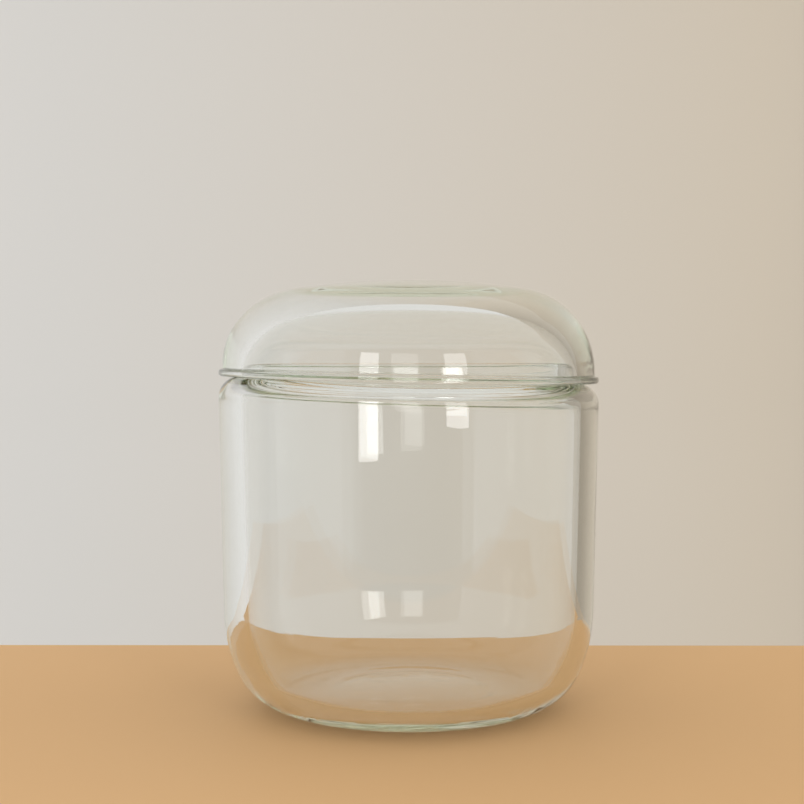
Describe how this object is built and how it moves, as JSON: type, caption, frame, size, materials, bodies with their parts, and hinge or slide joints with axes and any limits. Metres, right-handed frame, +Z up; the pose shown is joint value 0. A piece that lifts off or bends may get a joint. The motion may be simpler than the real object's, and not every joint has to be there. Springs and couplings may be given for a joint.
{
  "type": "storage jar",
  "caption": "Clear thick-walled glass storage jar with a rounded heel, a short neck collar and a loose low domed glass lid with a small lip.",
  "frame": {"origin": "centre of the foot, on the surface the jar stands on", "axes": "+Z up through the mouth and the lid; X and Y lie along the surface and are alike, as the jar is round"},
  "size_m": [0.1442, 0.1442, 0.163],
  "materials": {
    "jar_glass": "clear, smooth, very faint green in the thickness",
    "lid_glass": "clear, smooth, very faint green in the thickness"
  },
  "bodies": {
    "root": {"jar": "jar_glass", "lid": "lid_glass"}
  },
  "joints": []
}
